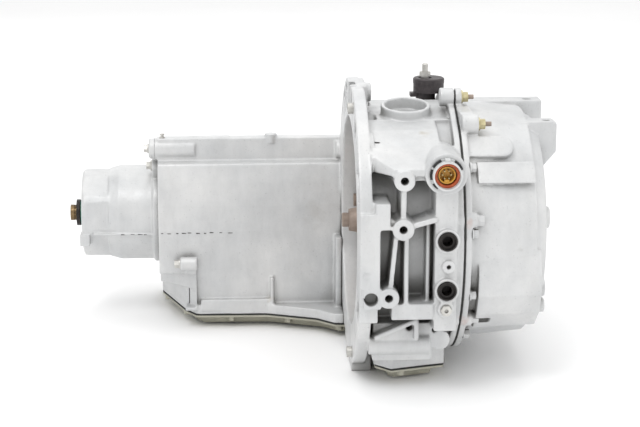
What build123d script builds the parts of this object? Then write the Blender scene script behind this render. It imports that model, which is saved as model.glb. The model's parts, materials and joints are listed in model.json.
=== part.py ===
from build123d import *
from math import atan2, cos, degrees, hypot, pi, radians, sin
import os

# Automatic transaxle for a transverse engine.  Millimetres.
# Origin: centre of the engine mating face, on the torque converter's axis.
# +X towards the side cover, +Y towards the rear of the vehicle, +Z up.

# ---------------------------------------------------------------- driving dimensions
FLANGE_R = 190.0            # engine flange, outer radius
FLANGE_T = 16.0             # engine flange, thickness
EAR_TOP_Z = 183.0           # flat top of the flange
BOLT_CIRCLE_R = 175.0       # engine bolts
BOLT_HOLE_R = 5.5
DOWEL_R = 7.0
BELL_R = 138.0              # bore around the torque converter
BELL_WALL = 8.0
WEB_X = 92.0                # front of the web behind the converter
CHAIN_X = 104.0             # back of that web, start of the chain space
JOINT_X = 131.0             # case and side cover meet here
COVER_X = 240.0             # end face of the side cover
FRONT_Y = -188.0            # machined faces on the front of the case
RIB_ROOT_Y = -112.0         # front ribs and bosses reach back to the bell wall
SPLIT_Y = 146.0             # converter housing and gear case meet here

GEAR_Y = 240.0              # output axis
GEAR_Z = -44.0
GEAR_BORE_R = 88.0
GEAR_END_X = -258.0         # left end of the gear case
END_WALL = 10.0
RAIL_Z = -172.0             # oil pan rail
# front left corner cut back towards the rail: low z, high z, y at the end face, y at the bend
CORNER_CUTS = ((RAIL_Z + 11, -136.0, 262.0, 166.0), (-137.0, -112.0, 190.0, 158.0))
DECK_Z = 78.0               # top of the ridge along the gear case
RIDGE_Y = (170.0, 190.0)

EXT_TIP_X = -368.5          # seal face of the extension housing
EXT_R = 65.0
EXT_BASE_R = 68.5
EXT_FLAT_R = 61.5           # flats cast along its narrow part, by angle
EXT_FLATS = (40, 84, 128, 172, 216, 260, 304)
EXT_EAR_R = 88.0
EXT_BOLT_ANGLES = (118, 62, 12, -35)
OUTPUT_R = 11.5             # splined end of the left output shaft
OUTPUT_TIP_X = -388.0
RIGHT_STUB_R = 10.5         # right output, past its seal
RIGHT_TIP_X = 260.0
SHAFT_R = 12.0

CONVERTER_R = 129.0
CONVERTER_X = (18.0, 84.0)   # set back inside the bell
PILOT_R = 9.5
PILOT_X = -9.0

SPROCKET_X = (136.0, 160.0)
SPROCKET_TEETH = 36
CHAIN_PITCH = 9.525

MODULE = 2.2                # final drive gears
SUN_TEETH, PLANET_TEETH, RING_TEETH = 18, 24, 66
PLANETS = 3
PLANET_X = (-150.0, -122.0)

SELECTOR_X, SELECTOR_Y = 106.0, 60.0
SELECTOR_TOP_Z = 199.0
SWITCH_SEAT_Z = 150.0
SWITCH_TOP_Z = 180.0
SWITCH_DRUM_Z = 161.0       # underside of the switch's drum
SWITCH_X = SELECTOR_X + 5   # its drum sits beside the shaft
SWITCH_R = 20.5
LEVER_Z = 104.0
LEVER_REACH = 30.0
VALVE_Z = 92.0
VALVE_R = 6.0

RUNNING = 0.05              # radial clearance of a running fit
GASKET_T = 1.6
COVER_FLANGE_T = 8.0
FLANGE_EDGE = 8.0           # flange on the case side of that joint

CONNECTOR = (104.6, 102.0)
COOLER_PORTS = ((108.0, 17.0), (108.0, -46.0))
PRESSURE_PLUG = (107.0, -70.0)
# x, z, boss radius, depth
BRACKET_HOLES = ((54.0, 94.0, 13.0, 24.0), (53.0, 33.0, 13.5, 27.0), (36.0, -54.0, 13.0, 30.0))
BRACKET_THREAD_R = 5.0
TOP_PORT = (69.0, -45.0, 163.0)

os.makedirs("parts", exist_ok=True)


# ---------------------------------------------------------------- helpers
def keep(part, name):
    """Label a finished piece and write it as its own STEP."""
    part.label = name
    export_step(part, f"parts/{name}.step")


def x_rod(start, end, y, z, radius, mode=Mode.ADD, taper=0):
    """Cylinder along X, added to the part being built."""
    with BuildSketch(Plane.YZ.offset(start)) as profile:
        with Locations((y, z)):
            Circle(radius)
    extrude(profile.sketch, amount=end - start, mode=mode, taper=taper)


def y_rod(front, back, x, z, radius, mode=Mode.ADD):
    """Cylinder along Y, from its back face to its front face."""
    with BuildSketch(Plane.XZ.offset(-back)) as profile:
        with Locations((x, z)):
            Circle(radius)
    extrude(profile.sketch, amount=back - front, mode=mode)


def z_rod(low, high, x, y, radius, mode=Mode.ADD):
    """Cylinder along Z."""
    with BuildSketch(Plane.XY.offset(low)) as profile:
        with Locations((x, y)):
            Circle(radius)
    extrude(profile.sketch, amount=high - low, mode=mode)


def block(x_span, y_span, z_span, mode=Mode.ADD):
    """Rectangular block between three pairs of limits."""
    with BuildSketch(Plane.XY.offset(z_span[0])) as profile:
        with Locations(((x_span[0] + x_span[1]) / 2, (y_span[0] + y_span[1]) / 2)):
            Rectangle(x_span[1] - x_span[0], y_span[1] - y_span[0])
    extrude(profile.sketch, amount=z_span[1] - z_span[0], mode=mode)


def hexagon_x(start, end, y, z, across_flats):
    """Hexagonal head or nut along X."""
    with BuildSketch(Plane.YZ.offset(start)) as profile:
        with Locations((y, z)):
            RegularPolygon(across_flats / 2, 6, major_radius=False)
    extrude(profile.sketch, amount=end - start)


def front_rib(start, end, width, back, front):
    """Upright wall between two (x, z) points on the front of the case."""
    length = hypot(end[0] - start[0], end[1] - start[1])
    angle = degrees(atan2(end[1] - start[1], end[0] - start[0]))
    with BuildSketch(Plane.XZ.offset(-back)) as profile:
        with Locations(((start[0] + end[0]) / 2, (start[1] + end[1]) / 2)):
            SlotCenterToCenter(length, width, rotation=angle)
    extrude(profile.sketch, amount=back - front)


def joint_outline(grow):
    """Case and cover outline: a hull around the converter and output axes."""
    with BuildSketch() as outline:
        with BuildLine():
            CenterArc((0, 0), 158.0 + grow, 0, 360)
            CenterArc((GEAR_Y, GEAR_Z), 96.0 + grow, 0, 360)
        make_hull()
    return outline.sketch


def joint_prism(start, end, grow, mode=Mode.ADD, taper=0):
    """The joint outline extruded along X."""
    profile = Plane.YZ.offset(start) * joint_outline(grow)
    extrude(profile, amount=end - start, mode=mode, taper=taper)


def joint_point(fraction, grow):
    """Point of the joint outline, as a fraction of the way round it."""
    position = joint_outline(grow).wire() @ fraction
    return position.X, position.Y


def tooth_ring(teeth, root_r, tip_r, root_share, tip_share):
    """Points of a ring of straight-sided teeth, the first one centred on angle 90."""
    pitch = 2 * pi / teeth
    points = []
    for index in range(teeth):
        centre = pi / 2 + index * pitch
        flanks = ((root_r, -root_share), (tip_r, -tip_share), (tip_r, tip_share), (root_r, root_share))
        for radius, share in flanks:
            angle = centre + share * pitch
            points.append((radius * cos(angle), radius * sin(angle)))
    return points


def toothed_disc(start, end, y, z, points, spin=0):
    """Disc along X with a toothed edge, turned by spin degrees."""
    with BuildSketch(Plane.YZ.offset(start)) as profile:
        with Locations(Location((y, z), spin)):
            Polygon(*points, align=None)
    extrude(profile.sketch, amount=end - start)


def around_x(radius, angle, y=0.0, z=0.0):
    """(y, z) of a point on a circle about an X axis."""
    return y + radius * cos(radians(angle)), z + radius * sin(radians(angle))


COVER_STUDS = ((123.0, 140.6, 157.0, -40.0, 171.0), (140.0, 156.0, 173.0, -90.0, 145.0))
DIFF_X = -200.0
CASE_BOLT = (131.0, -94.0)
SERVO = (181.0, 62.0)
VENT = (-251.0, 176.0)
BARREL_RIBS = (-205.0, -140.0, -75.0, -10.0, 55.0)
PARK_TEETH = 12
PAWL_PIVOT = (196.0, -124.0)
CHANNEL_POSTS = ((-118, 62), (-118, -62), (-30, 130), (100, -120), (315, -44), (170, 54))
COVER_LUGS = ((-158.0, 37.0), (-128.0, -98.0))
BULGE_X = 151.0              # raised areas of the cover start clear of its bolts
END_RIB_ANGLES = (-10, 50, 110)
# z, end x, radius
END_BOSSES = ((28.0, 246.0, 14.0), (-18.0, 241.5, 13.0), (-63.5, 242.5, 12.0), (-88.0, 243.0, 9.0))
COVER_BOLT_COUNT = 16
COVER_BOLTS = [joint_point((index + 0.5) / COVER_BOLT_COUNT, 6) for index in range(COVER_BOLT_COUNT)]


# ---------------------------------------------------------------- pan rail and fastener positions
def pan_outline(inset):
    """Plan of the oil pan rail, drawn inwards by inset."""
    with BuildSketch() as outline:
        with BuildLine():
            Polyline((GEAR_END_X, 338), (GEAR_END_X, 262), (-222, 164), (-206, 140), (-106, 137), (-37, 110),
                     (-12, 86), (28, 82), (28, -92), (47, -113), (91, -100), (118, -93), (118, 338), close=True)
        make_face()
        fillet(outline.vertices(), radius=5)
        if inset:
            offset(amount=-inset, kind=Kind.INTERSECTION)
    return outline.sketch


PAN_BOLT_COUNT = 18
PAN_BOLTS = []
for index in range(PAN_BOLT_COUNT):
    rail_point = pan_outline(6.5).wire() @ ((index + 0.3) / PAN_BOLT_COUNT)
    PAN_BOLTS.append((rail_point.X, rail_point.Y))
EXTENSION_BOLTS = [around_x(EXT_EAR_R, angle, GEAR_Y, GEAR_Z) for angle in EXT_BOLT_ANGLES]


# ---------------------------------------------------------------- converter housing
ENGINE_BOLT_ANGLES = (45, 135, 225, 315)
DOWEL_ANGLES = (112, 248)
FLANGE_POCKETS = ((54, 64), (66, 77), (82, 92), (94, 104), (119, 128), (143, 159), (201, 217))  # angles
# front ribs: (x, z) at both ends, width, front face
FRONT_RIBS = (((53, 36), (54, 90), 7, -183), ((53, 33), (93, 44), 7, -183), ((45, 24), (38, -48), 6, -181),
              ((58, 24), (58, -62), 6, -179), ((54, 94), (100, 96), 6, -176), ((25, 50), (50, 36), 6, -181),
              ((12, -60), (36, -54), 9, -184), ((86, 44), (86, -66), 5, -166))


def build_converter_housing():
    """Bell housing with the engine flange, front bosses and the sump below it."""
    with BuildPart() as converter_housing:
        # engine flange, bell wall and the wider end that carries the side cover
        x_rod(0, FLANGE_T, 0, 0, FLANGE_R)
        x_rod(0, JOINT_X, 0, 0, BELL_R + BELL_WALL + 4)
        joint_prism(JOINT_X - FLANGE_EDGE, JOINT_X, 12)
        joint_prism(CHAIN_X - 8, JOINT_X, 0)
        x_rod(JOINT_X - 18, JOINT_X, *COVER_STUDS[0][3:], 12)
        for y, z in COVER_LUGS:
            x_rod(JOINT_X - 12, JOINT_X, y, z, 10.5)
        # top of the case under the range switch and the big top port
        block((30, JOINT_X - 6), (-70, 75), (100, 148))
        z_rod(120, SWITCH_SEAT_Z - 8, SELECTOR_X + 3, SELECTOR_Y, 19)
        z_rod(120, SWITCH_SEAT_Z, SELECTOR_X, SELECTOR_Y, 12)
        # sloping shelf from the top port to the front, cut back towards the flange
        with BuildSketch(Plane.YZ.offset(FLANGE_T)) as shelf:
            with BuildLine():
                Polyline((-66, 148), (-100, 140), (-140, 124), (-170, 112), (FRONT_Y + 4, 108), (FRONT_Y + 4, 99),
                         (-150, 99), (-108, 96), (-66, 96), close=True)
            make_face()
        extrude(shelf.sketch, amount=CHAIN_X - FLANGE_T)
        with BuildSketch(Plane.XY.offset(90)) as shelf_corner:
            with BuildLine():
                Polyline((FLANGE_T + 0.2, -200), (FLANGE_T + 0.2, -152), (42, FRONT_Y + 2), (42, -200),
                         close=True)
            make_face()
        extrude(shelf_corner.sketch, amount=60, mode=Mode.SUBTRACT)
        # machined pad at the flange, its shoulder and lower blocks
        block((0, 25), (FRONT_Y, -130), (-42, 53))
        block((19, 37), (FRONT_Y, -125), (33, 66))
        block((5, 26), (FRONT_Y, -125), (-68, -42))
        block((0, 23), (-180, -115), (-88, -66))
        # upright column with the cooler ports
        block((93, 121), (-178, -120), (-100, 84))
        y_rod(FRONT_Y, RIB_ROOT_Y, *CONNECTOR, 26)
        for x, z in COOLER_PORTS:
            y_rod(FRONT_Y + 3, RIB_ROOT_Y, x, z, 15.5)
        y_rod(FRONT_Y + 2, RIB_ROOT_Y, *PRESSURE_PLUG, 10.5)
        y_rod(-184, RIB_ROOT_Y, 110, -16, 8.5)
        # bracket bosses and the ribs that tie them together
        for x, z, boss_r, _ in BRACKET_HOLES:
            y_rod(FRONT_Y, RIB_ROOT_Y, x, z, boss_r)
        for start, end, width, front in FRONT_RIBS:
            front_rib(start, end, width, RIB_ROOT_Y, front)
        block((40, 92), (-180, RIB_ROOT_Y), (-84, -64))
        # lower front: web plate and the cross bulge above the pan
        block((20, 96), (-140, -95), (-150, -100))
        with BuildSketch(Plane.XZ.offset(148)) as web_plate:
            with BuildLine():
                Polyline((22, -118), (74, -94), (74, -120), close=True)
            make_face()
        extrude(web_plate.sketch, amount=-40)
        front_rib((24, -114), (74, -92), 6, -100, -158)
        front_rib((74, -92), (74, -116), 6, -100, -158)
        x_rod(15, 93, -138, -129, 12.5)
        y_rod(-140, -90, 106, -124, 13)
        y_rod(-146, -90, 104, -98, 11)
        # upper flange column, second boss and bottom block
        x_rod(0, 21, -118, 120, 20)
        x_rod(0, 28, 2, 172, 13)
        block((0, 22), (-20, 46), (150, EAR_TOP_Z))
        block((0, 27), (-58, -20), (-192, -165))
        # sump rail under the bell
        with BuildSketch(Plane.XY.offset(RAIL_Z)) as sump:
            with BuildLine():
                Polyline((26, SPLIT_Y), (26, -92), (47, -113), (91, -100), (118, -93), (118, SPLIT_Y),
                         close=True)
            make_face()
        extrude(sump.sketch, amount=72)
        # top port, leaning towards the front
        port_plane = Plane(origin=TOP_PORT, x_dir=(1, 0, 0), z_dir=(0, -sin(radians(8)), cos(radians(8))))
        with BuildSketch(port_plane) as port_ring:
            Circle(32)
        extrude(port_ring.sketch, amount=-60)

        # hollow it out
        x_rod(-1, WEB_X, 0, 0, BELL_R, mode=Mode.SUBTRACT)
        joint_prism(CHAIN_X, JOINT_X + 1, -10, mode=Mode.SUBTRACT)
        x_rod(WEB_X - 1, CHAIN_X + 1, 0, 0, 26, mode=Mode.SUBTRACT)
        with BuildSketch(Plane.XY.offset(RAIL_Z - 1)) as sump_hollow:
            with BuildLine():
                Polyline((38, SPLIT_Y + 1), (38, -80), (50, -98), (90, -86), (106, -80),
                         (106, SPLIT_Y + 1), close=True)
            make_face()
        extrude(sump_hollow.sketch, amount=19, mode=Mode.SUBTRACT)
        block((-1, FLANGE_T + 1), (60, SPLIT_Y), (-192, RAIL_Z), mode=Mode.SUBTRACT)
        block((-1, 30), (-80, 80), (EAR_TOP_Z, FLANGE_R + 1), mode=Mode.SUBTRACT)
        block((-1, JOINT_X + 1), (SPLIT_Y, 500), (-300, 300), mode=Mode.SUBTRACT)
        block((26.1, JOINT_X + 1), (-200, 500), (-300, RAIL_Z), mode=Mode.SUBTRACT)

        # holes
        with BuildSketch(port_plane) as port_bore:
            Circle(27)
        extrude(port_bore.sketch, amount=-16, mode=Mode.SUBTRACT)
        for x, y in PAN_BOLTS:
            z_rod(RAIL_Z - 1, RAIL_Z + 9, x, y, 3.1, mode=Mode.SUBTRACT)
        for angle in ENGINE_BOLT_ANGLES:
            x_rod(-1, 30, *around_x(BOLT_CIRCLE_R, angle), BOLT_HOLE_R, mode=Mode.SUBTRACT)
        for angle in DOWEL_ANGLES:
            x_rod(-1, 10, *around_x(BOLT_CIRCLE_R, angle), DOWEL_R, mode=Mode.SUBTRACT)
        for low, high in FLANGE_POCKETS:
            with BuildSketch(Plane.YZ.offset(-1)) as pocket:
                with BuildLine():
                    Polyline(around_x(151, low), around_x(183, low), around_x(183, (low + high) / 2),
                             around_x(183, high), around_x(151, high), around_x(151, (low + high) / 2), close=True)
                make_face()
            extrude(pocket.sketch, amount=FLANGE_T - 6, mode=Mode.SUBTRACT)
        for x, z, _, depth in BRACKET_HOLES:
            y_rod(FRONT_Y - 1, FRONT_Y + depth, x, z, BRACKET_THREAD_R, mode=Mode.SUBTRACT)
        y_rod(FRONT_Y - 1, FRONT_Y + 16, 14, -55, 8.5, mode=Mode.SUBTRACT)
        for z in (47, -25):
            y_rod(FRONT_Y - 1, FRONT_Y + 1.5, 8, z, 5, mode=Mode.SUBTRACT)
        for x, z in COOLER_PORTS:
            y_rod(FRONT_Y, FRONT_Y + 26, x, z, 11.5, mode=Mode.SUBTRACT)
        y_rod(FRONT_Y, FRONT_Y + 14, 110, -16, 2.8, mode=Mode.SUBTRACT)
        y_rod(FRONT_Y, FRONT_Y + 16, *PRESSURE_PLUG, 5, mode=Mode.SUBTRACT)
        y_rod(FRONT_Y - 1, -148, *CONNECTOR, 18, mode=Mode.SUBTRACT)
        y_rod(FRONT_Y, -130, 66, -104, 4, mode=Mode.SUBTRACT)
        z_rod(90, SWITCH_SEAT_Z + 1, SELECTOR_X, SELECTOR_Y, 5 + RUNNING, mode=Mode.SUBTRACT)
        z_rod(SWITCH_SEAT_Z, SWITCH_TOP_Z, SELECTOR_X + 1, SELECTOR_Y, 13.5, mode=Mode.SUBTRACT)
        z_rod(SWITCH_DRUM_Z - 1, SWITCH_TOP_Z, SWITCH_X, SELECTOR_Y, SWITCH_R + 1, mode=Mode.SUBTRACT)
        z_rod(LEVER_Z - 4, LEVER_Z + 8, SELECTOR_X, SELECTOR_Y, 14, mode=Mode.SUBTRACT)
        x_rod(JOINT_X - 13, JOINT_X + 1, *COVER_STUDS[0][3:], 3, mode=Mode.SUBTRACT)
        for y, z in COVER_BOLTS:
            x_rod(JOINT_X - 10, JOINT_X + 1, y, z, 4, mode=Mode.SUBTRACT)
    keep(converter_housing.part, "converter_housing")


# ---------------------------------------------------------------- gear case
def build_gear_case():
    """Long case behind the engine: bore for the gear train, top deck and sump skirt."""
    with BuildPart() as gear_case:
        # barrel and the walls that run up to the deck and down to the pan rail
        with BuildSketch(Plane.YZ.offset(GEAR_END_X)) as section:
            with BuildLine():
                Polyline((RIDGE_Y[0], 46), (158, 43), (150, 18), (142, -14), (140, -50), (143, -96),
                         (146, -140), (146, -160), (330, -160), (337, -100), (338, -44), (325, 5),
                         (289, 41), (240, 54), (196, 52), close=True)
            make_face()
        extrude(section.sketch, amount=JOINT_X - GEAR_END_X)
        block((GEAR_END_X, JOINT_X - 40), RIDGE_Y, (36, DECK_Z))
        # pan rail
        with BuildSketch(Plane.XY.offset(RAIL_Z)) as rail:
            add(pan_outline(0))
        extrude(rail.sketch, amount=14)
        block((-205, 118), (SPLIT_Y, 330), (RAIL_Z + 10, -150))
        # servo cylinder, ear under it, raised strip and knob on the deck
        x_rod(-262, -205, *SERVO, 15)
        block((GEAR_END_X, -240), (176, 190), (34, 50))
        block((-213, -157), (173, 185), (DECK_Z - 8, DECK_Z + 1.5))
        z_rod(DECK_Z - 8, DECK_Z + 5, -98, 176, 8.5)
        # lower left boss, ribs under it and towards the flange
        x_rod(-228, -204, *CASE_BOLT, 9.5)
        block((-228, -204), (CASE_BOLT[0], 150), (CASE_BOLT[1] - 9.5, CASE_BOLT[1] + 4))
        block((-222, -205), (138, 160), (RAIL_Z + 6, -100))
        block((-101, -96), (136, 160), (RAIL_Z + 6, -118))
        block((-9, -0.3), (118, 160), (RAIL_Z + 6, -56))
        block((-200, -101), (138, 160), (RAIL_Z + 6, RAIL_Z + 22))
        # flange behind the converter housing's rim, joint flange of the side cover
        with BuildSketch(Plane.YZ) as rim:
            Circle(FLANGE_R)
        extrude(rim.sketch, amount=FLANGE_T)
        x_rod(-6, FLANGE_T, 176, 60, 15)
        joint_prism(JOINT_X - FLANGE_EDGE, JOINT_X, 12)
        joint_prism(JOINT_X - 40, JOINT_X, -2)
        # stiffening ribs over the rear of the barrel
        for x in BARREL_RIBS:
            with BuildSketch(Plane.YZ.offset(x)) as barrel_rib:
                with BuildLine():
                    Polyline((204, 50), (240, 58.5), (291, 45.5), (329.5, 7), (342.5, -44), (341.5, -100),
                             (335, -158), (250, -158), (250, 0), (204, 30), close=True)
                make_face()
            extrude(barrel_rib.sketch, amount=6)
        # trim to the parting faces
        block((0, JOINT_X + 1), (-300, SPLIT_Y), (-400, 400), mode=Mode.SUBTRACT)
        block((GEAR_END_X - 9, 0), (-300, 80), (-400, 400), mode=Mode.SUBTRACT)
        block((GEAR_END_X - 9, JOINT_X + 1), (-400, 500), (-400, RAIL_Z), mode=Mode.SUBTRACT)
        # gear train bore, chain space and sump
        x_rod(GEAR_END_X + END_WALL, JOINT_X + 1, GEAR_Y, GEAR_Z, GEAR_BORE_R, mode=Mode.SUBTRACT)
        x_rod(GEAR_END_X - 1, GEAR_END_X + END_WALL + 1, GEAR_Y, GEAR_Z, 54, mode=Mode.SUBTRACT)
        joint_prism(CHAIN_X, JOINT_X + 1, -10, mode=Mode.SUBTRACT)
        block((GEAR_END_X + 42, 106), (SPLIT_Y + 10, 324), (RAIL_Z - 1, -112), mode=Mode.SUBTRACT)
        block((-2, 106), (SPLIT_Y - 1, 324), (RAIL_Z - 1, RAIL_Z + 18), mode=Mode.SUBTRACT)
        for low, high, reach, bend in CORNER_CUTS:
            with BuildSketch(Plane.XY.offset(low)) as corner:
                with BuildLine():
                    Polyline((GEAR_END_X - 1, 130), (GEAR_END_X - 1, reach), (-222, bend), (-206, 142),
                             (-206, 130), close=True)
                make_face()
            extrude(corner.sketch, amount=high - low, mode=Mode.SUBTRACT)
        # web that carries the park pawl's pin
        block((-113, -105), (SPLIT_Y + 4, 214), (RAIL_Z + 24, -98))
        x_rod(-114, -104, *PAWL_PIVOT, 4, mode=Mode.SUBTRACT)
        # holes
        for y, z in COVER_BOLTS:
            x_rod(JOINT_X - 10, JOINT_X + 1, y, z, 4, mode=Mode.SUBTRACT)
        x_rod(-6.5, FLANGE_T, 176, 60, BOLT_HOLE_R, mode=Mode.SUBTRACT)
        x_rod(-229, -212, *CASE_BOLT, 4, mode=Mode.SUBTRACT)
        x_rod(-263, -246, *SERVO, 4, mode=Mode.SUBTRACT)
        for y, z in EXTENSION_BOLTS:
            x_rod(GEAR_END_X - 1, GEAR_END_X + 9, y, z, 3.6, mode=Mode.SUBTRACT)
        for x, y in PAN_BOLTS:
            z_rod(RAIL_Z - 1, RAIL_Z + 9, x, y, 3.1, mode=Mode.SUBTRACT)
        z_rod(RAIL_Z - 1, RAIL_Z + 20, -100, 146, 3, mode=Mode.SUBTRACT)
    keep(gear_case.part, "gear_case")


# ---------------------------------------------------------------- extension housing and output
def build_extension_housing():
    """Tapered housing around the left output shaft, with a stepped nose."""
    tip, seat = EXT_TIP_X, EXT_TIP_X + 12
    with BuildPart() as extension_housing:
        with BuildSketch(Plane.XZ) as profile:
            with BuildLine():
                Polyline((tip, 20), (tip, EXT_R - 5), (tip + 3, EXT_R - 1), (-327, EXT_R), (-315, EXT_BASE_R),
                         (GEAR_END_X - 10, EXT_BASE_R), (GEAR_END_X - 8, EXT_BASE_R + 4), (GEAR_END_X, EXT_BASE_R + 4),
                         (GEAR_END_X, 53), (seat + 44, 53), (seat + 34, 34), (seat + 22, 30.05), (seat, 30.05),
                         (seat, 20), close=True)
            make_face()
        revolve(profile.sketch, axis=Axis.X)
        # flats along the narrow part
        for angle in EXT_FLATS:
            with BuildSketch(Plane.YZ.offset(tip - 1)) as flat:
                with Locations(Location(around_x(EXT_FLAT_R + 6, angle), angle)):
                    Rectangle(12, 120)
            extrude(flat.sketch, amount=40, mode=Mode.SUBTRACT)
        for y, z in EXTENSION_BOLTS:
            x_rod(GEAR_END_X - 9, GEAR_END_X, y - GEAR_Y, z - GEAR_Z, 10)
        for angle in EXT_BOLT_ANGLES:
            with BuildSketch(Plane.YZ.offset(GEAR_END_X - 9)) as tie:
                with Locations(Location(around_x(41, angle), angle)):
                    SlotCenterToCenter(82, 20)
                Circle(54, mode=Mode.SUBTRACT)
            extrude(tie.sketch, amount=9)
        block((tip - 2.5, tip + 12), (-66, -40), (-34, -18))
        front_rib((tip + 18, -16), (GEAR_END_X - 10, -18), 3, -40, -69)
        for y, z in EXTENSION_BOLTS:
            x_rod(GEAR_END_X - 10, GEAR_END_X + 1, y - GEAR_Y, z - GEAR_Z, 3.6, mode=Mode.SUBTRACT)
    keep(Pos(0, GEAR_Y, GEAR_Z) * extension_housing.part, "extension_housing")


def ring_x(name, start, end, outer, inner, y=GEAR_Y, z=GEAR_Z):
    """Plain ring about an X axis: seal, bearing, gear blank or gasket."""
    with BuildPart() as ring:
        x_rod(start, end, y, z, outer)
        x_rod(start - 1, end + 1, y, z, inner, mode=Mode.SUBTRACT)
    keep(ring.part, name)


def build_bearing(name, start, end, outer, inner, y=GEAR_Y, z=GEAR_Z):
    """Shielded ball bearing: a ring with grooved side shields."""
    with BuildPart() as bearing:
        x_rod(start, end, y, z, outer)
        x_rod(start - 1, end + 1, y, z, inner, mode=Mode.SUBTRACT)
        middle = (outer + inner) / 2
        half_gap = (outer - inner) / 5
        for face, depth in ((start, 1.0), (end, -1.0)):
            with BuildSketch(Plane.YZ.offset(face)) as groove:
                with Locations((y, z)):
                    Circle(middle + half_gap)
                    Circle(middle - half_gap, mode=Mode.SUBTRACT)
            extrude(groove.sketch, amount=depth, mode=Mode.SUBTRACT)
    keep(bearing.part, name)


# ---------------------------------------------------------------- side cover
def build_side_cover():
    """Deep cover over the chain and the valve bodies."""
    with BuildPart() as side_cover:
        start = JOINT_X + GASKET_T
        joint_prism(start, start + COVER_FLANGE_T, 12)
        joint_prism(start, COVER_X - 14, -1, taper=5)
        profile = Plane.YZ.offset(COVER_X - 15) * joint_outline(-14)
        extrude(profile, amount=15, taper=30)
        # front of the cover: rounded raised area, step across it, bevel and lower bulge
        raised = Plane(origin=(184, -107.3, 120.5), x_dir=(1, 0, 0), z_dir=(0, -0.7, 0.714))
        with BuildSketch(raised) as raised_area:
            Circle(15.5)
            with Locations((-21.7, 0)):
                Rectangle(43.4, 31)
        extrude(raised_area.sketch, amount=-16)
        with BuildSketch(Plane.YZ.offset(BULGE_X)) as step:
            with BuildLine():
                Polyline((-120, 103), (-141, 79), (-118, 79), (-108, 95), close=True)
            make_face()
        extrude(step.sketch, amount=COVER_X - 16 - BULGE_X)
        with BuildSketch(Plane.YZ.offset(BULGE_X)) as bulge:
            with BuildLine():
                Polyline((-148, -3), (-162, -35), (-160, -62), (-146, -90), (-115, -116), (-80, -118), (-80, -3),
                         close=True)
            make_face()
        extrude(bulge.sketch, amount=COVER_X - 8 - BULGE_X, taper=2)
        for z, reach, boss_r in END_BOSSES:
            x_rod(200, reach, -112, z, boss_r)
        # rear bar and front ear on the top, with their bolt holes
        block((148, 262), (44, 76), (118, 150))
        block((start, 150), (-90, 30), (128, 160))
        with BuildSketch(Plane.XZ.offset(56)) as ear:
            with BuildLine():
                Polyline((206, 60), (206, 140), (264, 140), (264, 101), (246, 80), (240, 60), close=True)
            make_face()
            fillet(ear.vertices().sort_by(Axis.X)[-2:], radius=4)
        extrude(ear.sketch, amount=-28)
        x_rod(start + 2, COVER_STUDS[1][1], *COVER_STUDS[1][3:], 13)
        x_rod(start, start + COVER_FLANGE_T, *COVER_STUDS[0][3:], 12)
        # lugs for the two large front bolts
        for y, z in COVER_LUGS:
            x_rod(start, 147, y, z, 10.5)
        # shallow pockets between the ribs of the end face, right output boss
        with BuildSketch(Plane.YZ.offset(COVER_X - 4)) as end_pockets:
            add(joint_outline(-38))
            Circle(36, mode=Mode.SUBTRACT)
            for angle in END_RIB_ANGLES:
                with Locations(Location((0, 0), angle)):
                    SlotCenterToCenter(700, 8, mode=Mode.SUBTRACT)
        extrude(end_pockets.sketch, amount=6, mode=Mode.SUBTRACT)
        x_rod(COVER_X - 20, COVER_X + 8, GEAR_Y, GEAR_Z, 34)
        # hollow it out
        joint_prism(start - 1, COVER_X - 10, -10, mode=Mode.SUBTRACT, taper=5.6)
        x_rod(COVER_X - 20, COVER_X + 9, GEAR_Y, GEAR_Z, 24, mode=Mode.SUBTRACT)
        # holes
        z_rod(104, 141, 252, -42, 5, mode=Mode.SUBTRACT)
        z_rod(117, 151, 244, 60, 6, mode=Mode.SUBTRACT)
        for y, z in COVER_BOLTS:
            x_rod(start - 1, start + COVER_FLANGE_T + 1, y, z, 4, mode=Mode.SUBTRACT)
            x_rod(start + COVER_FLANGE_T, BULGE_X, y, z, 8.2, mode=Mode.SUBTRACT)
        for y, z in COVER_LUGS:
            x_rod(147, 170, y, z, 9, mode=Mode.SUBTRACT)
            x_rod(135, 148, y, z, 4, mode=Mode.SUBTRACT)
        for root_x, seat_x, _, y, z in COVER_STUDS:
            x_rod(seat_x, seat_x + 26, y, z, 9.5, mode=Mode.SUBTRACT)
            x_rod(max(root_x, start - 1), seat_x + 1, y, z, 3, mode=Mode.SUBTRACT)
    keep(side_cover.part, "side_cover")


# ---------------------------------------------------------------- pan, gaskets and filter
PAN_FLANGE_T = 2.5
PAN_DEPTH = 15.0


def build_side_gasket():
    """Gasket between the case and the side cover."""
    with BuildPart() as gasket:
        joint_prism(JOINT_X, JOINT_X + GASKET_T, 12)
        joint_prism(JOINT_X - 1, JOINT_X + GASKET_T + 1, -8, mode=Mode.SUBTRACT)
        for y, z in COVER_BOLTS:
            x_rod(JOINT_X - 1, JOINT_X + 3, y, z, 4, mode=Mode.SUBTRACT)
    keep(gasket.part, "side_cover_gasket")


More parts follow.
